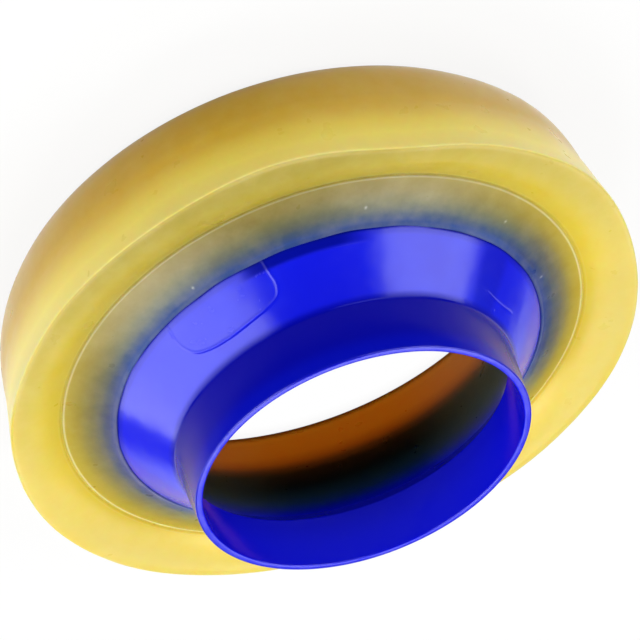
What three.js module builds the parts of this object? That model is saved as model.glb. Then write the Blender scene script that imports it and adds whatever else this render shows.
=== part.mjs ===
// Toilet pan seal: a soft wax ring cast round the flange of a moulded plastic horn.
// Millimetres, +Z up. The origin is the centre of the flat land of the wax ring that
// meets the toilet pan, and +Z runs along the axis to the open rim of the horn.
import * as THREE from 'three';

// Driving dimensions of the wax ring
const waxOuterRadius = 70;
const waxHeight = 29.8;
const edgeRounding = 0.6;
const edgeWarp = 0.8;
const outerWallTaper = 2;
const shoulderHeight = 15;
const landOuterRadius = 61.5;
const landWidth = 2.5;
const grooveRadius = 58.8;
const grooveDrop = 2.4;
const grooveDepth = 0.5;
const grooveWidth = 1.2;
const faceSwell = 0.65;
const featherRadius = 48;
const featherRise = 0.9;
const featherSag = 0.25;
const throatRadius = 40;
const mouthLip = 2.5;
const mouthFlare = 1.2;

// Dents and bulges of the soft outer wall: the azimuth of the middle, the reach to each side,
// both in degrees, how far the outer edge moves out, and the share of that left at the pan
const wallMarks = [
  { azimuth: 243, reach: 13, rise: -2, panShare: 0 },
  { azimuth: 206, reach: 16, rise: 1.6, panShare: 0.6 },
  { azimuth: 268, reach: 12, rise: 0.9, panShare: 0.2 },
  { azimuth: 143, reach: 34, rise: 1.4, panShare: 0.6 },
  { azimuth: 35, reach: 30, rise: 1.2, panShare: 0.6 },
];

// Driving dimensions of the horn
const spigotRimRadius = 37;
const spigotRootRadius = 37.9;
const spigotLength = 12.6;
const wallThickness = 1.6;
const coneAngle = 42.3;
const flangeRadius = 56;
const rimRounding = 0.45;
const rootRounding = 0.6;

// Fit between the wax and the buried flange
const waxClearance = 0.3;

// Fineness of the round forms
const segments = 72;
const arcSteps = 5;
const shoulderSteps = 7;
const cornerSteps = 3;
const mergeDistance = 0.01;

const halfCircle = 180;
const quarterCircle = 90;
const degree = Math.PI / halfCircle;
const fullTurn = 2 * Math.PI;

// Heights that follow from the driving dimensions
const edgeHeight = waxHeight - edgeRounding;
const grooveHeight = waxHeight - grooveDrop;
const featherHeight = waxHeight + featherRise;
const coneSlope = 1 / Math.tan(coneAngle * degree);
const coneNormal = new THREE.Vector2(Math.cos(coneAngle * degree), Math.sin(coneAngle * degree));

// Height of the outer face of the cone at a radius, which meets the feathered wax at its edge
function coneHeight(radius) {
  return featherHeight - (radius - featherRadius) * coneSlope;
}

// The same height on a face moved out along the normal of the cone by an offset
function coneFaceHeight(radius, offset) {
  return coneHeight(radius) + offset / coneNormal.y;
}

const rootHeight = coneHeight(spigotRootRadius);
const rimHeight = rootHeight + spigotLength;

function point(radius, height) {
  return new THREE.Vector2(radius, height);
}

// Points from one point to another that leave the straight line by a bow in the middle
function bowed(from, to, bow, steps) {
  const along = to.clone().sub(from);
  const side = point(-along.y, along.x).normalize();
  const points = [];
  for (let i = 0; i <= steps; i += 1) {
    const t = i / steps;
    const swell = 4 * t * (1 - t) * bow;
    points.push(from.clone().addScaledVector(along, t).addScaledVector(side, swell));
  }
  return points;
}

// An arc of an ellipse about a centre, between two angles in degrees
function ellipseArc(centre, radiusR, radiusZ, startAngle, endAngle, steps) {
  const points = [];
  for (let i = 0; i <= steps; i += 1) {
    const angle = (startAngle + ((endAngle - startAngle) * i) / steps) * degree;
    points.push(point(centre.x + radiusR * Math.cos(angle), centre.y + radiusZ * Math.sin(angle)));
  }
  return points;
}

// A corner rounded by a quadratic curve that starts and ends a reach away from it
function roundedCorner(before, corner, after, reach, steps) {
  const start = corner.clone().add(before.clone().sub(corner).setLength(reach));
  const end = corner.clone().add(after.clone().sub(corner).setLength(reach));
  return new THREE.QuadraticBezierCurve(start, corner, end).getPoints(steps);
}

// Removes points that repeat the one before them, then closes the profile on itself
function closedProfile(points) {
  const kept = points.filter((p, i) => i === 0 || p.distanceTo(points[i - 1]) > mergeDistance);
  if (kept[0].distanceTo(kept[kept.length - 1]) > mergeDistance) {
    kept.push(kept[0].clone());
  }
  return kept;
}

// Revolves a closed profile that runs with the solid on its left
function revolve(profile) {
  return new THREE.LatheGeometry(profile, segments, 0, fullTurn);
}

// Cross-section of the horn, from the buried tip up the outside to the rim and back down the inside
function hornProfile() {
  const rimOuter = point(spigotRimRadius, rimHeight);
  const rimInner = point(spigotRimRadius - wallThickness, rimHeight);
  const rootOuter = point(spigotRootRadius, rootHeight);
  const innerRootRadius = spigotRootRadius - wallThickness;
  const rootInner = point(innerRootRadius, coneFaceHeight(innerRootRadius, -wallThickness));
  const tipOuter = point(flangeRadius, coneHeight(flangeRadius));
  const tipInner = tipOuter.clone().addScaledVector(coneNormal, -wallThickness);
  return closedProfile([
    tipInner,
    tipOuter,
    ...roundedCorner(tipOuter, rootOuter, rimOuter, rootRounding, cornerSteps),
    ...roundedCorner(rootOuter, rimOuter, rimInner, rimRounding, cornerSteps),
    ...roundedCorner(rimOuter, rimInner, rootInner, rimRounding, cornerSteps),
    ...roundedCorner(rimInner, rootInner, tipInner, rootRounding, cornerSteps),
  ]);
}

// Outer wall of the wax: a rounded shoulder, then a slightly tapered wall up to the edge
function waxOuterWall() {
  const wallRadius = waxOuterRadius - outerWallTaper;
  const centre = point(landOuterRadius, shoulderHeight);
  const shoulderReach = wallRadius - landOuterRadius;
  const shoulder = ellipseArc(centre, shoulderReach, shoulderHeight, -quarterCircle, 0, shoulderSteps);
  return [...shoulder, point(waxOuterRadius, edgeHeight)];
}

// Face of the wax, from the crisp outer edge down a swollen slope to the groove
function waxFace() {
  const rimRadius = waxOuterRadius - edgeRounding;
  const edgeCentre = point(rimRadius, edgeHeight);
  const edge = ellipseArc(edgeCentre, edgeRounding, edgeRounding, 0, quarterCircle, cornerSteps);
  const grooveTop = point(grooveRadius + grooveWidth / 2, grooveHeight);
  const slope = bowed(point(rimRadius, waxHeight), grooveTop, -faceSwell, arcSteps);
  return [...edge, ...slope, point(grooveRadius, grooveHeight - grooveDepth)];
}

// Thin wax that feathers out where it runs up onto the cone
function waxFeather() {
  const grooveLip = point(grooveRadius - grooveWidth / 2, grooveHeight);
  const tip = point(featherRadius, coneFaceHeight(featherRadius, waxClearance));
  return bowed(grooveLip, tip, featherSag, arcSteps);
}

// Pocket round the buried flange, with the named clearance on every side
function waxPocket() {
  const tipOuter = point(flangeRadius, coneHeight(flangeRadius));
  const outward = point(coneNormal.y, -coneNormal.x);
  const seat = tipOuter.clone().addScaledVector(outward, waxClearance);
  const under = wallThickness + waxClearance;
  return [
    seat.clone().addScaledVector(coneNormal, waxClearance),
    seat.clone().addScaledVector(coneNormal, -under),
    point(throatRadius, coneFaceHeight(throatRadius, -under)),
  ];
}

// Funnel inside the ring, from the throat under the cone to the mouth at the pan
function waxFunnel() {
  const throat = point(throatRadius, coneFaceHeight(throatRadius, -wallThickness - waxClearance));
  const mouthRadius = landOuterRadius - landWidth - mouthLip;
  const wall = bowed(throat, point(mouthRadius, mouthLip), -mouthFlare, arcSteps);
  const lipCentre = point(mouthRadius + mouthLip, mouthLip);
  const lipEnd = halfCircle + quarterCircle;
  return [...wall, ...ellipseArc(lipCentre, mouthLip, mouthLip, halfCircle, lipEnd, cornerSteps)];
}

function waxProfile() {
  return closedProfile([
    ...waxOuterWall(),
    ...waxFace(),
    ...waxFeather(),
    ...waxPocket(),
    ...waxFunnel(),
  ]);
}

// How far the soft outer wall is pushed out or in at an azimuth in degrees and a height
function wallRise(azimuth, height) {
  const upWall = THREE.MathUtils.clamp(height / edgeHeight, 0, 1);
  return wallMarks.reduce((sum, mark) => {
    const turned = THREE.MathUtils.euclideanModulo(azimuth - mark.azimuth + halfCircle, 2 * halfCircle);
    const away = turned - halfCircle;
    const share = THREE.MathUtils.lerp(mark.panShare, 1, upWall);
    return sum + mark.rise * share * Math.exp(-((away / mark.reach) ** 2));
  }, 0);
}

// Dents and bulges the outer wall and warps its edge, and fades both out towards the groove and the land
function pressWall(geometry) {
  const position = geometry.getAttribute('position');
  const wallRadius = waxOuterRadius - outerWallTaper;
  for (let i = 0; i < position.count; i += 1) {
    const x = position.getX(i);
    const y = position.getY(i);
    const radius = Math.hypot(x, y);
    const nearWall = THREE.MathUtils.smoothstep(radius, landOuterRadius, wallRadius);
    const azimuth = Math.atan2(y, x) / degree;
    const height = position.getZ(i);
    const scale = 1 + (wallRise(azimuth, height) * nearWall) / radius;
    const warp = edgeWarp * Math.sin(azimuth * degree) * nearWall * (height / waxHeight);
    position.setXYZ(i, x * scale, y * scale, height + warp);
  }
  geometry.computeVertexNormals();
  return geometry;
}

// The lathe turns about Y, so each piece is stood up with its axis along Z
function stoodUp(geometry) {
  return geometry.rotateX(Math.PI / 2);
}

const waxMaterial = new THREE.MeshStandardMaterial({ color: 0xd9b83f, roughness: 0.5, metalness: 0 });
const plasticMaterial = new THREE.MeshStandardMaterial({ color: 0x1414d8, roughness: 0.25, metalness: 0 });

const waxRing = new THREE.Mesh(pressWall(stoodUp(revolve(waxProfile()))), waxMaterial);
waxRing.name = 'wax_ring';

const horn = new THREE.Mesh(stoodUp(revolve(hornProfile())), plasticMaterial);
horn.name = 'horn';

const seal = new THREE.Group();
seal.add(waxRing, horn);

export default seal;
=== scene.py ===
import math

import bpy
import numpy as np
from mathutils import Matrix, Vector, noise


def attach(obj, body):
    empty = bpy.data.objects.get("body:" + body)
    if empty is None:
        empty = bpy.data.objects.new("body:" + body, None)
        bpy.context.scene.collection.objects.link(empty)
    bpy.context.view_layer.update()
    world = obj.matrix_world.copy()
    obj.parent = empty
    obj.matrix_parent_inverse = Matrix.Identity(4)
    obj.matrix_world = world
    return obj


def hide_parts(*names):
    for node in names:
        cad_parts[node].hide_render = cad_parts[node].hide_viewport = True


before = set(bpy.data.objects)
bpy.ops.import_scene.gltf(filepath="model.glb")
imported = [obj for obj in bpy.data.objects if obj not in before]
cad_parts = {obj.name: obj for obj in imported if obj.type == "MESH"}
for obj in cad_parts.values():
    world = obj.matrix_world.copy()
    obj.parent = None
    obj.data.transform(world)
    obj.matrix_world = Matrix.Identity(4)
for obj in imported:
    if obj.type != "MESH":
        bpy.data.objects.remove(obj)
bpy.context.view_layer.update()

scene = bpy.context.scene
MM = 0.001
DEGREE = math.pi / 180
# Points and heights this close together count as one, in millimetres
SAME_PLACE = 0.02

# Camera: the photograph looks down on the horn from a steep angle and is rolled far over
CAMERA_PLACE = Vector((-2.28, -481.91, 372.89)) * MM
CAMERA_ELEVATION = 36.58 * DEGREE
CAMERA_ROLL = 158.16 * DEGREE
CAMERA_LENS = 154.7

# Wax section, in millimetres as in the CAD source
WAX_RADIUS = 70.0
WAX_HEIGHT = 29.8
EDGE_ROUNDING = 0.6
EDGE_WARP = 0.8
WALL_TAPER = 2.0
SHOULDER = 15.0
LAND_OUTER = 61.5
LAND_WIDTH = 2.5
GROOVE_RADIUS = 58.8
GROOVE_DROP = 2.4
GROOVE_DEPTH = 0.3
GROOVE_WIDTH = 0.8
FACE_SWELL = 0.65
FEATHER_RADIUS = 48.0
FEATHER_RISE = 0.9
FEATHER_SAG = 0.25
THROAT_RADIUS = 40.0
MOUTH_LIP = 1.2
MOUTH_FLARE = 1.2
# Dents and bulges of the wall: azimuth of the middle, reach to each side, rise at the outer edge,
# and the share of it that is left at the pan
WALL_MARKS = (
    (243, 13, -2.0, 0.0),
    (206, 16, 1.6, 0.6),
    (268, 12, 0.9, 0.2),
    (143, 34, 1.4, 0.6),
    (35, 30, 1.2, 0.6),
)

# Fine forms of the wax
CREASE_RISE = 0.02
CREASE_REACH = 0.42
CREASE_OVER_EDGE = 0.25
WALL_SWAY = 0.28
WALL_RIPPLE = 0.06
FACE_SWAY = 0.12
TIP_WANDER = 0.16
CRUMB_RISE = 0.08
CRUMB_REACH = 0.26
# Crumbs of wax on the thin zone, as places (azimuth, radius), and the azimuth of a chip at the throat
CRUMBS = ((292.5, 49.9), (248.3, 52.0), (210.0, 52.7), (185.7, 49.8))
CHIP = 148.0
CHIP_HEIGHT = 37.3

# Horn section
RIM_RADIUS = 37.0
ROOT_RADIUS = 37.9
SPIGOT_LENGTH = 12.6
WALL = 1.6
CONE_ANGLE = 42.3 * DEGREE
FLANGE_RADIUS = 56.0
RIM_ROUNDING = 0.4
ROOT_ROUNDING = 0.4
CLEARANCE = 0.3

# Fine forms of the horn
CONE_START = 38.8
MARK_RISE = 0.12
MARK_REACH = 0.27
DOT_RISE = 0.08
DOT_REACH = 0.35
SPIGOT_SWAY = 0.05
DARK_LINE_REACH = 0.26
DARK_LINE_OFFSET = 0.36

EDGE_HEIGHT = WAX_HEIGHT - EDGE_ROUNDING
GROOVE_HEIGHT = WAX_HEIGHT - GROOVE_DROP
FEATHER_HEIGHT = WAX_HEIGHT + FEATHER_RISE
SLOPE = 1 / math.tan(CONE_ANGLE)
NORMAL = np.array((math.cos(CONE_ANGLE), math.sin(CONE_ANGLE)))


def cone_height(radius):
    return FEATHER_HEIGHT - (radius - FEATHER_RADIUS) * SLOPE


def cone_face(radius, offset):
    return cone_height(radius) + offset / NORMAL[1]


def line(a, b, step):
    """Points from a to b, about a step apart."""
    a, b = np.array(a, float), np.array(b, float)
    count = max(1, int(math.ceil(np.linalg.norm(b - a) / step)))
    return [a + (b - a) * i / count for i in range(count + 1)]


def bowed(a, b, bow, step):
    """Points from a to b that leave the straight line by a bow in the middle."""
    a, b = np.array(a, float), np.array(b, float)
    along = b - a
    side = np.array((-along[1], along[0])) / np.linalg.norm(along)
    count = int(math.ceil(np.linalg.norm(along) / step))
    return [a + along * t + side * 4 * t * (1 - t) * bow for t in np.linspace(0, 1, count + 1)]


def arc(centre, rr, rz, start, end, steps):
    angles = np.linspace(start, end, steps + 1) * DEGREE
    return [np.array((centre[0] + rr * math.cos(a), centre[1] + rz * math.sin(a))) for a in angles]


def corner(before, at, after, reach, steps):
    """A corner rounded from one reach before it to one reach after it."""
    before, at, after = (np.array(p, float) for p in (before, at, after))
    start = at + (before - at) / np.linalg.norm(before - at) * reach
    end = at + (after - at) / np.linalg.norm(after - at) * reach
    shares = np.linspace(0, 1, steps + 1)
    return [start * (1 - t) ** 2 + at * 2 * t * (1 - t) + end * t**2 for t in shares]


def closed(points):
    """The points of a closed section, without those that repeat the one before them."""
    kept = []
    for p in points:
        if not kept or np.linalg.norm(p - kept[-1]) > SAME_PLACE:
            kept.append(p)
    if np.linalg.norm(kept[0] - kept[-1]) <= SAME_PLACE:
        kept.pop()
    return np.array(kept)


def smooth(x, low, high):
    t = np.clip((x - low) / (high - low), 0, 1)
    return t * t * (3 - 2 * t)


def revolve(name, profile, azimuths, shape):
    """A closed section turned round the axis. shape moves the points, in millimetres."""
    rows, columns = len(profile), len(azimuths)
    angle = np.repeat(azimuths[:, None], rows, 1)
    radius = np.repeat(profile[None, :, 0], columns, 0)
    height = np.repeat(profile[None, :, 1], columns, 0)
    radius, height = shape(angle, radius, height)
    points = np.stack(
        [radius * np.cos(angle * DEGREE), radius * np.sin(angle * DEGREE), height], -1
    )
    index = np.arange(rows * columns).reshape(columns, rows)
    across = np.roll(index, -1, 0)
    faces = np.stack(
        [index, across, np.roll(across, -1, 1), np.roll(index, -1, 1)], -1
    ).reshape(-1, 4)
    mesh = bpy.data.meshes.new(name)
    mesh.from_pydata((points.reshape(-1, 3) * MM).tolist(), [], faces.tolist())
    mesh.polygons.foreach_set("use_smooth", [True] * len(mesh.polygons))
    mesh.update()
    piece = bpy.data.objects.new(name, mesh)
    scene.collection.objects.link(piece)
    return piece


def wax_section():
    """Section of the wax, from the land up the wall, over the face and down the funnel."""
    wall = WAX_RADIUS - WALL_TAPER
    rim = WAX_RADIUS - EDGE_ROUNDING
    below_edge = (WAX_RADIUS - 0.15, EDGE_HEIGHT - 1)
    within_edge = (rim - 0.6, WAX_HEIGHT + 0.02)
    groove_out = (GROOVE_RADIUS + GROOVE_WIDTH / 2, GROOVE_HEIGHT)
    groove_in = (GROOVE_RADIUS - GROOVE_WIDTH / 2, GROOVE_HEIGHT)
    groove_foot = (GROOVE_RADIUS, GROOVE_HEIGHT - GROOVE_DEPTH)
    tip = np.array((FEATHER_RADIUS, cone_face(FEATHER_RADIUS, CLEARANCE)))
    outward = np.array((NORMAL[1], -NORMAL[0]))
    seat = np.array((FLANGE_RADIUS, cone_height(FLANGE_RADIUS))) + outward * CLEARANCE
    under = WALL + CLEARANCE
    throat = np.array((THROAT_RADIUS, cone_face(THROAT_RADIUS, -under)))
    throat_lip = np.array((THROAT_RADIUS - 0.3, cone_face(THROAT_RADIUS - 0.3, -WALL + 0.05)))
    mouth = LAND_OUTER - LAND_WIDTH - MOUTH_LIP
    up_cone = -outward
    return closed(
        [
            *line((LAND_OUTER - LAND_WIDTH, 0), (LAND_OUTER, 0), 0.6),
            *arc((LAND_OUTER, SHOULDER), wall - LAND_OUTER, SHOULDER, -90, 0, 22),
            *line((wall, SHOULDER), below_edge, 1.0),
            *line(below_edge, (WAX_RADIUS, EDGE_HEIGHT), 0.14),
            *arc((rim, EDGE_HEIGHT), EDGE_ROUNDING, EDGE_ROUNDING, 0, 90, 8),
            *line((rim, WAX_HEIGHT), within_edge, 0.15),
            *bowed(within_edge, groove_out, -FACE_SWELL, 0.6),
            *corner(groove_out, groove_foot, groove_in, 0.25, 5),
            *bowed(groove_in, tip + outward * 0.6, FEATHER_SAG, 0.33),
            tip + outward * 0.35 + NORMAL * 0.03,
            tip + outward * 0.12 + NORMAL * 0.02,
            tip + up_cone * 0.06 - NORMAL * 0.01,
            tip + up_cone * 0.15 - NORMAL * 0.14,
            tip + up_cone * 0.18 - NORMAL * 0.33,
            tip + outward * 0.5 - NORMAL * 0.32,
            *line(tip + outward * 1.5, seat + NORMAL * CLEARANCE, 2.0),
            *line(seat + NORMAL * CLEARANCE, seat - NORMAL * under, 0.8),
            *line(seat - NORMAL * under, throat + outward * 1.2, 2.0),
            throat_lip + outward * 0.3,
            throat_lip,
            throat_lip + (throat - throat_lip) * 0.12 + outward * 0.12,
            *bowed(throat, (mouth, MOUTH_LIP), -MOUTH_FLARE, 1.0)[2:],
            *arc((mouth + MOUTH_LIP, MOUTH_LIP), MOUTH_LIP, MOUTH_LIP, 180, 270, 8),
        ]
    )


def wall_rise(azimuth, height):
    """How far the soft outer wall stands out or in at an azimuth and a height."""
    up_wall = np.clip(height / EDGE_HEIGHT, 0, 1)
    total = 0
    for middle, reach, rise, pan_share in WALL_MARKS:
        away = (azimuth - middle + 180) % 360 - 180
        share = pan_share + (1 - pan_share) * up_wall
        total = total + rise * share * np.exp(-((away / reach) ** 2))
    return total


def field(angle, radius, height, size, seed):
    """Soft seeded noise on a surface, about -1 to 1."""
    x = radius * np.cos(angle * DEGREE) / size
    y = radius * np.sin(angle * DEGREE) / size
    places = zip(x.ravel(), y.ravel(), (height / size + seed).ravel())
    return np.array([noise.noise(Vector(p)) for p in places]).reshape(angle.shape)


def wander(angle):
    """How far the edge of the thin wax wanders down the cone."""
    at_edge = np.full(angle.shape, FEATHER_RADIUS)
    return TIP_WANDER * field(angle, at_edge, np.zeros(angle.shape), 9, 41)


# Values at the points of a piece, which its material reads. The two shape functions fill them in.
marks = {}


def shape_wax(angle, radius, height):
    """The soft forms of the wax: dents, waviness, crease, crumbs and the wandering edge."""
    wall = WAX_RADIUS - WALL_TAPER
    outer = smooth(radius, LAND_OUTER, wall)
    buried = smooth(cone_height(radius) - height, 0.2, 1.5)
    face = smooth(radius, 50, 53) * smooth(height, 20, 26) * (1 - buried)
    off_crease = (height - EDGE_HEIGHT - CREASE_OVER_EDGE) / CREASE_REACH
    crease = np.exp(-(off_crease**2)) * smooth(radius, 68.6, 69.4)
    strength = 0.75 + 0.9 * field(angle, radius, height, 16, 31)
    warp = EDGE_WARP * np.sin(angle * DEGREE) * outer * height / WAX_HEIGHT
    press = wall_rise(angle, height) * outer
    soft = WALL_SWAY * field(angle, radius, height, 26, 3)
    soft = soft + WALL_RIPPLE * field(angle, radius, height, 7, 11)
    lift = height > 1
    ridge = CREASE_RISE * crease * strength
    out = radius + press + outer * lift * soft + ridge
    up = height + warp + face * FACE_SWAY * field(angle, radius, height, 20, 17) + ridge
    crumb = np.zeros(angle.shape)
    for azimuth, at in CRUMBS:
        away = np.hypot((angle - azimuth) * DEGREE * radius, radius - at)
        crumb += np.exp(-((away / CRUMB_REACH) ** 2)) * (height > 26) * (1 - buried)
    # The chip at the edge of the throat is longer than it is high, and its pale colour in the wax
    # material is a painted glint
    away = np.hypot((angle - CHIP) * DEGREE * radius / 1.3, (radius - THROAT_RADIUS + 0.1) / 0.5)
    near_throat = (np.abs(height - CHIP_HEIGHT) < 1.0) & (radius < THROAT_RADIUS + 0.6)
    crumb += np.exp(-(away**2)) * near_throat
    # The pale colour that the wax material gives the crease is a painted highlight along the edge
    marks["crease"] = np.clip(crease * strength, 0, 1).ravel()
    marks["crumb"] = np.clip(crumb, 0, 1).ravel()
    # The edge of the thin wax wanders a little up and down the cone
    at_tip = np.exp(-(((radius - FEATHER_RADIUS) / 1.6) ** 2)) * (height > FEATHER_HEIGHT - 3)
    slide = wander(angle) * at_tip
    return out + slide, up - slide * SLOPE + CRUMB_RISE * crumb


def spline(points, samples):
    """Smooth curve through points, with as many samples from each point to the next."""
    p = [np.array(q, float) for q in points]
    p = [2 * p[0] - p[1], *p, 2 * p[-1] - p[-2]]
    out = []
    for i in range(1, len(p) - 2):
        for t in np.linspace(0, 1, samples, endpoint=False):
            out.append(
                0.5
                * (
                    2 * p[i]
                    + (p[i + 1] - p[i - 1]) * t
                    + (2 * p[i - 1] - 5 * p[i] + 4 * p[i + 1] - p[i + 2]) * t**2
                    + (3 * p[i] - p[i - 1] - 3 * p[i + 1] + p[i + 2]) * t**3
                )
            )
    out.append(p[-2])
    return np.array(out)


def on_cone(track):
    """A track of (azimuth, radius) laid on the cone, in millimetres."""
    azimuth, radius = track[:, 0] * DEGREE, track[:, 1]
    return np.stack([radius * np.cos(azimuth), radius * np.sin(azimuth), cone_height(radius)], -1)


def inside(track, azimuth, radius):
    """Whether places lie within a closed track."""
    result = np.zeros(azimuth.shape, bool)
    for (a0, r0), (a1, r1) in zip(track, np.roll(track, -1, 0)):
        crosses = (r0 > radius) != (r1 > radius)
        with np.errstate(divide="ignore", invalid="ignore"):
            where = a0 + (radius - r0) * (a1 - a0) / (r1 - r0)
        result ^= crosses & (azimuth < where)
    return result


# Moulding marks on the cone, as places (azimuth, radius): the edge of a tab, a line and a dot
TAB_RIGHT = ((304.4, 48.8), (304.9, 47.2), (305.8, 45.4), (305.7, 43.8), (303.9, 42.1))
TAB_FOOT = ((299.0, 41.1), (292.9, 40.75), (286.5, 40.95), (281.0, 41.35), (277.3, 41.85))
TAB_LEFT = ((274.9, 42.6), (274.1, 44.1), (274.5, 45.7), (275.1, 48.8))
TAB = spline(TAB_RIGHT + TAB_FOOT + TAB_LEFT, 6)
RAISED_LINE = spline(((208.9, 41.45), (203.3, 40.85), (197.2, 40.75), (190.5, 41.2)), 14)
DOT = np.array(((201.2, 39.25), (201.2, 39.25)))


def horn_section():
    """Section of the horn, from the buried tip up the outside to the rim and down the inside."""
    rim = cone_height(ROOT_RADIUS) + SPIGOT_LENGTH
    rim_out, rim_in = (RIM_RADIUS, rim), (RIM_RADIUS - WALL, rim)
    root_out = (ROOT_RADIUS, cone_height(ROOT_RADIUS))
    root_in_radius = ROOT_RADIUS - WALL
    root_in = (root_in_radius, cone_face(root_in_radius, -WALL))
    tip_out = np.array((FLANGE_RADIUS, cone_height(FLANGE_RADIUS)))
    tip_in = tip_out - NORMAL * WALL
    wax_edge = (FEATHER_RADIUS + 1, cone_height(FEATHER_RADIUS + 1))
    spigot_foot = (ROOT_RADIUS - 0.1, root_out[1] + 1.4)
    spigot_top = (RIM_RADIUS + 0.04, rim - 0.6)
    bore_top = (RIM_RADIUS - WALL + 0.04, rim - 0.6)
    bore_foot = (root_in_radius - 0.1, root_in[1] + 1.4)
    return closed(
        [
            *line(tip_in, tip_out, 0.8),
            *line(tip_out, wax_edge, 1.5),
            *line(wax_edge, (CONE_START, cone_height(CONE_START)), 0.16),
            *corner(tip_out, root_out, rim_out, ROOT_ROUNDING, 7),
            *line(spigot_foot, spigot_top, 1.0),
            *corner(root_out, rim_out, rim_in, RIM_ROUNDING, 6),
            *corner(rim_out, rim_in, root_in, RIM_ROUNDING, 6),
            *line(bore_top, bore_foot, 1.0),
            *corner(rim_in, root_in, tip_in, ROOT_ROUNDING, 7),
            *line((root_in_radius + 1, cone_face(root_in_radius + 1, -WALL)), tip_in, 1.2),
        ]
    )


def nearest(points, track):
    """Distance in millimetres from each point to a track of points."""
    best = np.full(len(points), 1e9)
    for a, b in zip(track[:-1], track[1:]):
        along = b - a
        t = np.clip(((points - a) @ along) / max(along @ along, 1e-9), 0, 1)
        best = np.minimum(best, np.linalg.norm(points - a - t[:, None] * along, axis=1))
    return best


def shape_horn(angle, radius, height):
    """The fine forms of the horn: raised marks on the cone and waviness of the spigot."""
    cone = (np.abs(height - cone_height(radius)) < SAME_PLACE) & (radius > CONE_START - 0.3)
    places = np.stack(
        [radius * np.cos(angle * DEGREE), radius * np.sin(angle * DEGREE), height], -1
    ).reshape(-1, 3)
    tab = nearest(places, on_cone(TAB)).reshape(angle.shape)
    raised = nearest(places, on_cone(RAISED_LINE)).reshape(angle.shape)
    dot = nearest(places, on_cone(DOT)).reshape(angle.shape)
    tab_area = inside(TAB, angle, radius) & cone
    # The raised line fades out at one end and nearly fades out at the other
    along = smooth(angle, 190, 194) * (1 - 0.9 * smooth(angle, 205, 209))
    rise = MARK_RISE * np.exp(-((tab / MARK_REACH) ** 2))
    rise = rise + MARK_RISE * along * np.exp(-((raised / MARK_REACH) ** 2))
    rise = rise + DOT_RISE * np.exp(-((dot / DOT_REACH) ** 2))
    rise = np.where(cone, rise, 0)
    sway = SPIGOT_SWAY * field(angle, radius, height, 14, 5) * (height > 33)
    marks["tab"] = (tab_area * smooth(tab, 0, 0.5)).ravel()
    # A dark line beside the edge of the wax, wetted plastic with a painted shadow in the gap, and a
    # wider strip of painted shade on one side
    below = radius - (FEATHER_RADIUS - DARK_LINE_OFFSET + wander(angle))
    patchy = 0.8 + 0.5 * field(angle, radius, height, 9, 23)
    edge_line = np.exp(-((below / DARK_LINE_REACH) ** 2)) * patchy
    strip = smooth(angle, 244, 256) * (1 - smooth(angle, 277, 285)) * smooth(radius, 45.7, 46.5)
    marks["edge_line"] = (cone * np.clip(edge_line, 0, 1)).ravel()
    # Fainter painted shade all round just below the wax edge, and in a second narrow band
    strip = np.maximum(strip, 0.35 * smooth(radius, 46.4, 47.1))
    strip = np.maximum(strip, 0.35 * smooth(angle, 200, 204) * (1 - smooth(angle, 210, 214)))
    marks["strip"] = (cone * strip).ravel()
    return radius + rise * NORMAL[0] + sway, height + rise * NORMAL[1]


def columns(step, *closer):
    """Azimuths round a piece, closer together over stretches given as (start, end, step)."""
    parts = [np.arange(0, 360, step)]
    for start, end, fine in closer:
        parts = [p[(p < start - fine / 2) | (p > end)] for p in parts]
        parts.append(np.arange(start, end, fine))
    return np.sort(np.concatenate(parts))


horn_columns = columns(1.5, (188, 212, 0.25), (273, 309, 0.2))
near_crumbs = [(azimuth - 0.9, azimuth + 0.9, 0.2) for azimuth, _ in CRUMBS]
wax_columns = columns(1.2, (CHIP - 4, CHIP + 4, 0.5), *near_crumbs)
horn = revolve("horn_shell", horn_section(), horn_columns, shape_horn)
wax = revolve("wax_body", wax_section(), wax_columns, shape_wax)
for piece, names in ((horn, ("tab", "edge_line", "strip")), (wax, ("crease", "crumb"))):
    for name in names:
        piece.data.attributes.new(name, "FLOAT", "POINT").data.foreach_set("value", marks[name])


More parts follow.
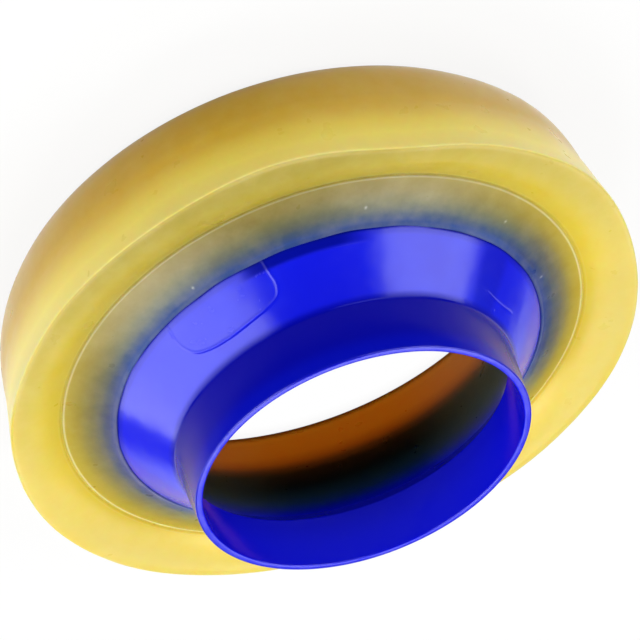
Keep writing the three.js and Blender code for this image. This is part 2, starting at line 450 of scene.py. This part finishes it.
class Nodes:
    """Small helper to write a node material as formulas."""

    def __init__(self, name):
        self.material = bpy.data.materials.new(name)
        self.material.use_nodes = True
        self.tree = self.material.node_tree
        self.tree.nodes.clear()
        self.out = self.tree.nodes.new("ShaderNodeOutputMaterial")

    def new(self, kind, inputs=(), **settings):
        node = self.tree.nodes.new(kind)
        for key, value in settings.items():
            setattr(node, key, value)
        for key, value in dict(inputs).items():
            self.put(node.inputs[key], value)
        return node

    def put(self, socket, value):
        if isinstance(value, bpy.types.NodeSocket):
            self.tree.links.new(value, socket)
        else:
            socket.default_value = value

    def math(self, operation, a, b=0.0, clamp=False):
        node = self.new("ShaderNodeMath", operation=operation, use_clamp=clamp)
        self.put(node.inputs[0], a)
        self.put(node.inputs[1], b)
        return node.outputs[0]

    def times(self, *factors):
        product = factors[0]
        for factor in factors[1:]:
            product = self.math("MULTIPLY", product, factor)
        return product

    def span(self, value, low, high, to_low=0.0, to_high=1.0, kind="SMOOTHSTEP"):
        node = self.new("ShaderNodeMapRange", interpolation_type=kind)
        for i, item in enumerate((value, low, high, to_low, to_high)):
            self.put(node.inputs[i], item)
        return node.outputs[0]

    def ramp(self, value, stops):
        node = self.new("ShaderNodeValToRGB")
        ramp = node.color_ramp
        while len(ramp.elements) < len(stops):
            ramp.elements.new(0.5)
        for element, (place, colour) in zip(ramp.elements, stops):
            element.position = place
            element.color = (*colour, 1)
        self.put(node.inputs[0], value)
        return node.outputs[0]

    def mix(self, share, a, b):
        """A blend of two colours, each a socket or three numbers, by the share of the second."""
        node = self.new("ShaderNodeMix", data_type="RGBA")
        self.put(node.inputs[0], share)
        for i, value in ((6, a), (7, b)):
            self.put(node.inputs[i], (*value, 1) if isinstance(value, tuple) else value)
        return node.outputs[2]

    def noise(self, coords, scale, detail=2.0, rough=0.5):
        inputs = {"Vector": coords, "Scale": scale, "Detail": detail, "Roughness": rough}
        return self.new("ShaderNodeTexNoise", inputs).outputs[0]

    def mark(self, name):
        """The value that a shape function left at the points of the piece."""
        return self.new("ShaderNodeAttribute", attribute_name=name).outputs["Fac"]


def place(n):
    """Object coordinates, and the radius and height on the part in millimetres."""
    coords = n.new("ShaderNodeTexCoord").outputs["Object"]
    xyz = n.new("ShaderNodeSeparateXYZ", {0: coords}).outputs
    squares = n.math("ADD", n.times(xyz[0], xyz[0]), n.times(xyz[1], xyz[1]))
    radius = n.times(n.math("SQRT", squares), 1 / MM)
    height = n.times(xyz[2], 1 / MM)
    return coords, xyz, radius, height


def over_cone(n, radius, height):
    """Height over the outer face of the cone, which goes on as the buried flange."""
    drop = n.math("SUBTRACT", height, FEATHER_HEIGHT + FEATHER_RADIUS * SLOPE)
    return n.math("ADD", drop, n.times(radius, SLOPE))


# Colours of the wax along a measure, as (place from 0 to 1, linear colour)
# Over the depth of the wax over the flange, which shows through it where it is thin
FACE_DEPTH = 9.0
FACE_STOPS = (
    (0.0, (0.06, 0.125, 0.44)),
    (0.045, (0.055, 0.12, 0.4)),
    (0.075, (0.05, 0.115, 0.33)),
    (0.12, (0.075, 0.14, 0.26)),
    (0.17, (0.17, 0.205, 0.19)),
    (0.23, (0.23, 0.24, 0.13)),
    (0.305, (0.31, 0.28, 0.08)),
    (0.415, (0.4, 0.31, 0.03)),
    (0.57, (0.5, 0.375, 0.014)),
    (1.0, (0.93, 0.71, 0.035)),
)
# Up the outer wall: the wax's amber, with painted shade low down by the pan and a painted glow near the
# edge
WALL_SPAN = 30.0
WALL_TONE_AND_LIGHT_STOPS = (
    (0.0, (0.7, 0.4, 0.02)),
    (0.13, (0.67, 0.4, 0.023)),
    (0.26, (0.63, 0.385, 0.027)),
    (0.4, (0.63, 0.39, 0.033)),
    (0.54, (0.75, 0.49, 0.046)),
    (0.67, (0.88, 0.67, 0.09)),
    (0.8, (0.93, 0.79, 0.15)),
    (1.0, (0.74, 0.7, 0.22)),
)
# Down the funnel: from the blue light of the horn at the top, through painted shade in the middle, to a
# painted glow of the light from below at the foot
FUNNEL_TOP = 38.0
FUNNEL_FOOT = 1.5
FUNNEL_TONE_AND_LIGHT_STOPS = (
    (0.0, (0.0, 0.003, 0.5)),
    (0.028, (0.001, 0.004, 0.36)),
    (0.082, (0.002, 0.01, 0.16)),
    (0.135, (0.003, 0.014, 0.065)),
    (0.192, (0.004, 0.013, 0.024)),
    (0.256, (0.003, 0.008, 0.01)),
    (0.328, (0.003, 0.003, 0.003)),
    (0.47, (0.016, 0.006, 0.001)),
    (0.541, (0.1, 0.022, 0.002)),
    (0.613, (0.33, 0.068, 0.002)),
    (0.712, (0.49, 0.12, 0.003)),
    (0.9, (0.52, 0.135, 0.004)),
    (1.0, (0.66, 0.2, 0.008)),
)
# Painted shade darkens the groove, between two painted highlight lines: radius, reach, share, colour
GROOVE_SHADE_AND_HIGHLIGHT_LINES = (
    (58.9, 0.5, 0.3, (0.42, 0.35, 0.02)),
    (59.5, 0.2, 0.15, (0.95, 0.87, 0.5)),
    (58.3, 0.36, 0.6, (0.9, 0.82, 0.5)),
)
# Share and colour of the marks that the shape functions left. The pale crease colour is a painted
# highlight along the edge; the pale crumb colour marks crumbs of wax, and on the chip at the throat it
# is a painted glint
WAX_MARKS = (("crease", 0.5, (0.68, 0.63, 0.34)), ("crumb", 0.5, (0.8, 0.8, 0.72)))
OUTER_EDGE_TONE = (0.7, 0.56, 0.065)
BROWN_TONE = (0.16, 0.08, 0.0)
DARK_TONE = (0.0, 0.0, 0.1)
FUNNEL_SIDE_TONE = (0.42, 0.42, 0.24)
SPECK_TONE = (0.956, 0.8388, 0.402)
BLACK = (0.0, 0.0, 0.0)


def face_colour(n, coords, xyz, radius, above, cloud):
    """Colour of the upper face, from the thin wax on the cone to the outer edge."""
    drift = n.times(n.math("SUBTRACT", cloud, 0.5), 0.08)
    depth = n.math("ADD", above, n.times(drift, n.span(above, 0.3, 2.0)))
    depth = n.math("ADD", depth, n.span(radius, 58.4, 59.4, 0.0, FACE_DEPTH))
    face = n.ramp(n.math("DIVIDE", depth, FACE_DEPTH, clamp=True), FACE_STOPS)
    # At the two ends of the ring the thin wax is browner on one side and darker on the other
    thin = n.span(radius, 57.0, 52.0)
    brown_end = n.span(xyz[0], 0.034, 0.049, 0.0, 0.35)
    face = n.mix(n.times(thin, brown_end), face, BROWN_TONE)
    dark_end = n.times(n.span(xyz[0], -0.034, -0.046, 0.0, 0.48), n.span(xyz[1], -0.03, -0.01))
    face = n.mix(n.times(thin, dark_end), face, DARK_TONE)
    # Paler towards the outer edge, where light leaves the wax again after a short way
    away = n.math("MAXIMUM", n.math("SUBTRACT", WAX_RADIUS - 1.0, radius), 0.0)
    uneven = n.times(n.math("SUBTRACT", n.noise(coords, 30.0), 0.5), 5.0)
    away = n.math("ADD", away, uneven)
    face = n.mix(n.span(away, 11.0, 0.0), face, OUTER_EDGE_TONE)
    for at, reach, share, tone in GROOVE_SHADE_AND_HIGHLIGHT_LINES:
        off = n.math("ABSOLUTE", n.math("SUBTRACT", radius, at))
        face = n.mix(n.span(off, reach, 0.0, 0.0, share), face, tone)
    return face


def wall_tone_and_painted_light(n, height, cloud):
    """Colour of the outer wall, from amber at the pan to pale yellow at the edge: painted shade low
    down and a painted glow near the edge.
    """
    uneven = n.times(n.math("SUBTRACT", cloud, 0.5), 4.0)
    low = n.math("ADD", height, uneven)
    return n.ramp(n.math("DIVIDE", low, WALL_SPAN, clamp=True), WALL_TONE_AND_LIGHT_STOPS)


def funnel_tone_and_painted_light(n, xyz, height):
    """Colour of the inside, from the blue light of the horn through painted shade to a painted glow of
    the light from below.
    """
    inner = n.ramp(n.span(height, FUNNEL_TOP, FUNNEL_FOOT, kind="LINEAR"), FUNNEL_TONE_AND_LIGHT_STOPS)
    # Paler and greener towards the two sides
    left = n.span(xyz[0], -0.008, -0.045, 0.0, 0.17)
    right = n.span(xyz[0], 0.015, 0.05, 0.0, 0.09)
    return n.mix(n.math("ADD", left, right), inner, FUNNEL_SIDE_TONE)


def wax_material():
    n = Nodes("wax")
    coords, xyz, radius, height = place(n)
    # Signed depth over or under the outer face of the flange, along its normal
    above = n.times(over_cone(n, radius, height), float(NORMAL[1]))
    cloud = n.noise(coords, 42.0)
    face = face_colour(n, coords, xyz, radius, above, cloud)
    # Painted shade: the camera side of the face is darkened towards black
    to_camera = n.span(xyz[1], 0.0, -0.066, 0.0, 1.0, "LINEAR")
    camera_side_shade = n.times(to_camera, n.span(radius, 60.0, 66.0, 0.58, 0.46))
    face = n.mix(camera_side_shade, face, BLACK)
    normal = n.new("ShaderNodeTexCoord").outputs["Normal"]
    upward = n.new("ShaderNodeSeparateXYZ", {0: normal}).outputs[2]
    on_face = n.math("MAXIMUM", n.span(upward, 0.35, 0.8), n.span(radius, 66.0, 62.0))
    on_face = n.times(on_face, n.span(height, 12.0, 18.0))
    outer = n.mix(on_face, wall_tone_and_painted_light(n, height, cloud), face)
    # The inside is what lies under the flange, within the land
    under_flange = n.span(above, -1.2, -0.5, 1.0, 0.0)
    inside_bore = n.times(under_flange, n.span(radius, 60.5, 59.0))
    colour = n.mix(inside_bore, outer, funnel_tone_and_painted_light(n, xyz, height))
    spots = n.span(n.noise(coords, 220.0, 3.0, 0.6), 0.35, 0.75, 0.0, 0.08, "LINEAR")
    specks = n.times(spots, n.math("SUBTRACT", 1.0, inside_bore))
    colour = n.mix(specks, colour, SPECK_TONE)
    for name, share, tone in WAX_MARKS:
        colour = n.mix(n.times(n.mark(name), share), colour, tone)
    # Depth of the wax over the flange where it is thin, and plenty everywhere else
    plenty = n.math("MAXIMUM", n.span(radius, 50.0, 54.0, 0.0, 2.0), n.span(above, 0.0, -0.5, 0.0, 2.0))
    deep = n.math("MAXIMUM", above, plenty)
    # Less sheen on the thinnest wax, and on the camera side of the face
    less = n.times(camera_side_shade, on_face, n.span(radius, 59.0, 62.0, 0.0, 0.75))
    sheen = n.math("SUBTRACT", n.span(deep, 0.34, 0.7, 0.08, 0.5), less)
    fine = n.times(n.noise(coords, 900.0), 0.35)
    broad = n.noise(coords, 140.0, 3.0)
    relief = n.math("ADD", broad, fine)
    bump = n.new("ShaderNodeBump", {"Strength": 0.16, "Distance": 0.0003, "Height": relief})
    shader = n.new(
        "ShaderNodeBsdfPrincipled",
        {
            "Base Color": colour,
            "Roughness": n.span(broad, 0.3, 0.7, 0.27, 0.34, "LINEAR"),
            "Subsurface Weight": n.span(deep, 0.34, 0.8),
            "Subsurface Radius": (1.0, 0.55, 0.16),
            "Subsurface Scale": 0.004,
            "Subsurface Anisotropy": 0.0,
            "IOR": 1.45,
            "Specular IOR Level": sheen,
            "Normal": bump.outputs[0],
        },
    )
    n.put(n.out.inputs[0], shader.outputs[0])
    return n.material


def plastic_material():
    n = Nodes("horn_plastic")
    coords, xyz, radius, height = place(n)
    cloud = n.noise(coords, 60.0, 3.0)
    mottle = n.noise(coords, 420.0)
    colour = n.mix(n.span(cloud, 0.35, 0.7), (0.0, 0.004, 0.78), (0.0, 0.01, 0.86))
    # Painted shade: the spigot, thin plastic with nothing behind it, is darker than the outside of the
    # cone, and darker still lower down its outside and deeper in the bore
    on_cone_face = n.span(over_cone(n, radius, height), -1.0, -0.4)
    cone_zone = n.times(on_cone_face, n.span(radius, 37.9, 39.2))
    outside_shaded_tone = n.mix(n.span(height, 49.0, 53.0), (0.0, 0.001, 0.4), (0.0, 0.003, 0.52))
    bore_shaded_tone = n.mix(n.span(height, 40.0, 50.0), (0.0, 0.002, 0.56), (0.0, 0.003, 0.68))
    spigot_shaded_tone = n.mix(n.span(radius, 36.8, 36.5), outside_shaded_tone, bore_shaded_tone)
    colour = n.mix(cone_zone, spigot_shaded_tone, colour)
    # The plastic is darker beside the edge of the wax, where it is wetted and a painted shadow lies in
    # the gap, and in the strip of painted shade
    edge_line = n.mark("edge_line")
    strip = n.mark("strip")
    colour = n.mix(n.times(strip, 0.75), colour, (0.0, 0.002, 0.16))
    colour = n.mix(n.times(edge_line, 0.9), colour, (0.0, 0.004, 0.13))
    # Less sheen on the dark line and the shaded strip, and on the outside of the spigot towards the
    # camera side
    wet_and_shaded = n.math("MAXIMUM", edge_line, n.times(strip, 0.6))
    sheen_share = n.span(wet_and_shaded, 0.0, 0.8, 1.0, 0.1)
    front = n.times(n.span(xyz[1], -0.004, -0.03), n.math("SUBTRACT", 1.0, cone_zone))
    below_rim = n.times(n.span(height, 54.3, 53.6), n.span(radius, 36.5, 36.8))
    plain = n.span(n.times(front, below_rim), 0.0, 1.0, 1.0, 0.25, "LINEAR")
    rough = n.span(mottle, 0.3, 0.7, 0.17, 0.23, "LINEAR")
    rough = n.math("ADD", rough, n.times(n.mark("tab"), 0.05))
    relief = n.math("ADD", n.noise(coords, 75.0), n.times(mottle, 0.06))
    bump = n.new("ShaderNodeBump", {"Strength": 0.35, "Distance": 0.0006, "Height": relief})
    shader = n.new(
        "ShaderNodeBsdfPrincipled",
        {
            "Base Color": colour,
            "Roughness": rough,
            "IOR": 1.5,
            "Specular IOR Level": n.times(sheen_share, plain, 0.5),
            "Normal": bump.outputs[0],
        },
    )
    n.put(n.out.inputs[0], shader.outputs[0])
    return n.material


horn.data.materials.append(plastic_material())
wax.data.materials.append(wax_material())

for piece, node, slot in ((horn, "horn", "horn_plastic"), (wax, "wax_ring", "wax")):
    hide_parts(node)
    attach(piece, "root")

# Camera
camera = bpy.data.objects.new("camera", bpy.data.cameras.new("camera"))
scene.collection.objects.link(camera)
scene.camera = camera
camera.data.lens = CAMERA_LENS
camera.data.sensor_width = 36.0
camera.data.clip_start = 0.01
camera.data.clip_end = 30.0
side = Vector((1, 0, 0))
over = Vector((0, math.sin(CAMERA_ELEVATION), math.cos(CAMERA_ELEVATION)))
forward = Vector((0, math.cos(CAMERA_ELEVATION), -math.sin(CAMERA_ELEVATION)))
right = side * math.cos(CAMERA_ROLL) + over * math.sin(CAMERA_ROLL)
up = over * math.cos(CAMERA_ROLL) - side * math.sin(CAMERA_ROLL)
turn = Matrix((right, up, -forward)).transposed().to_4x4()
camera.matrix_world = Matrix.Translation(CAMERA_PLACE) @ turn

# Lamps aim at the middle of the part. Each has a name, its direction from the part, the direction
# of its width, its width and height in metres, and its radiance.
LAMP_AIM = Vector((0, 0, 0.035))
LAMPS = (
    ("left_box", (0.815, -0.17, 0.556), (0.54, 1.11, -0.51), 1.8, 0.38, 3.7),
    ("right_box", (-0.825, -0.147, 0.548), (-0.27, 0.64, -0.28), 0.8, 0.42, 3.5),
    ("left_top_box", (0.29, 0.34, 0.895), (0.4, 0.5, -0.4), 0.34, 0.26, 9.0),
    ("right_top_box", (-0.29, 0.34, 0.895), (-0.4, 0.5, -0.4), 0.34, 0.26, 7.5),
    ("back_box", (0, 0.715, 0.7), (1, 0, 0), 0.8, 0.32, 3.2),
    ("left_fill", (0.72, -0.6, 0.29), (0, 0, 1), 0.5, 0.9, 1.95),
    ("right_fill", (-0.68, -0.68, 0.29), (0, 0, 1), 0.5, 0.9, 2.1),
)
# A round lamp on the floor within the ring lights the funnel from below
FLOOR_LAMP_WIDTH = 0.112
FLOOR_LAMP_RADIANCE = 0.7
FLOOR_LAMP_DISTANCE = 0.0345
# The share of a square that a disk of the same width covers
DISK_SHARE = math.pi / 4


def softbox(name, toward, along, width, height, radiance, distance=1.0):
    """A rectangular soft lamp, seen from the part in the direction toward, its width along along."""
    toward = Vector(toward).normalized()
    data = bpy.data.lights.new(name, "AREA")
    data.shape = "RECTANGLE"
    data.size, data.size_y = width, height
    data.energy = radiance * math.pi * width * height
    lamp = bpy.data.objects.new(name, data)
    scene.collection.objects.link(lamp)
    x = Vector(along)
    x = (x - toward * x.dot(toward)).normalized()
    y = toward.cross(x)
    turn = Matrix((x, y, toward)).transposed().to_4x4()
    lamp.matrix_world = Matrix.Translation(LAMP_AIM + toward * distance) @ turn
    lamp.visible_camera = False
    return lamp


for lamp in LAMPS:
    softbox(*lamp)
floor_lamp = softbox(
    "under_box",
    (0, 0, -1),
    (1, 0, 0),
    FLOOR_LAMP_WIDTH,
    FLOOR_LAMP_WIDTH,
    FLOOR_LAMP_RADIANCE * DISK_SHARE,
    FLOOR_LAMP_DISTANCE,
)
floor_lamp.data.shape = "DISK"
floor_lamp.visible_glossy = False

FLOOR_REACH = 4.0
FLOOR_DROP = 0.0001
WORLD_LEVEL = 0.16


def floor_material():
    """Pale for the camera and with the shadow of the part, and of its own tone in reflections."""
    n = Nodes("floor")
    path = n.new("ShaderNodeLightPath").outputs
    _, xyz, radius, _ = place(n)
    shaded = n.new("ShaderNodeBsdfDiffuse", {"Color": (0.8, 0.8, 0.8, 1)})
    dark = n.new("ShaderNodeBsdfDiffuse", {"Color": (0.35, 0.35, 0.35, 1)})
    glow = n.new("ShaderNodeEmission", {"Color": (1, 1, 1, 1), "Strength": 1.0})
    plain = n.math("SUBTRACT", 1.0, n.times(n.span(radius, 54.0, 62.0), 0.13))
    seen = n.new("ShaderNodeMixShader", {0: plain, 1: shaded.outputs[0], 2: glow.outputs[0]})
    # In reflections the floor is pale behind the part and beside it, and dark elsewhere
    behind = n.span(xyz[1], -0.02, 0.06)
    beside = n.math("ADD", xyz[1], n.times(n.math("ABSOLUTE", xyz[0]), 0.7))
    beside = n.times(n.span(beside, -0.1, 0.0, 0.0, 1.15), n.span(radius, 118.0, 92.0))
    pale = n.math("MAXIMUM", n.math("MAXIMUM", behind, beside), 0.05)
    reflected = n.times(pale, n.span(radius, 60.0, 65.0))
    sheen = n.new("ShaderNodeEmission", {"Color": (1, 1, 1, 1), "Strength": reflected})
    glossy = {0: path["Is Glossy Ray"], 1: dark.outputs[0], 2: sheen.outputs[0]}
    bounce = n.new("ShaderNodeMixShader", glossy)
    direct = {0: path["Is Camera Ray"], 1: bounce.outputs[0], 2: seen.outputs[0]}
    n.put(n.out.inputs[0], n.new("ShaderNodeMixShader", direct).outputs[0])
    return n.material


floor_mesh = bpy.data.meshes.new("floor")
floor_corners = [
    (-FLOOR_REACH, -FLOOR_REACH, 0),
    (FLOOR_REACH, -FLOOR_REACH, 0),
    (FLOOR_REACH, FLOOR_REACH, 0),
    (-FLOOR_REACH, FLOOR_REACH, 0),
]
floor_mesh.from_pydata(floor_corners, [], [(0, 1, 2, 3)])
floor = bpy.data.objects.new("floor", floor_mesh)
floor.location.z = -FLOOR_DROP
scene.collection.objects.link(floor)
floor_mesh.materials.append(floor_material())

# World: white for the camera, dim on the object
world = bpy.data.worlds.new("world")
scene.world = world
world.use_nodes = True
tree = world.node_tree
tree.nodes.clear()
out = tree.nodes.new("ShaderNodeOutputWorld")
backdrop = tree.nodes.new("ShaderNodeBackground")
tree.links.new(backdrop.outputs[0], out.inputs[0])
light_path = tree.nodes.new("ShaderNodeLightPath")
level = tree.nodes.new("ShaderNodeMapRange")
level.inputs["To Min"].default_value = WORLD_LEVEL
level.inputs["To Max"].default_value = 1.0
tree.links.new(light_path.outputs["Is Camera Ray"], level.inputs["Value"])
tree.links.new(level.outputs[0], backdrop.inputs["Strength"])
backdrop.inputs["Color"].default_value = (1, 1, 1, 1)

scene.view_settings.view_transform = "Standard"
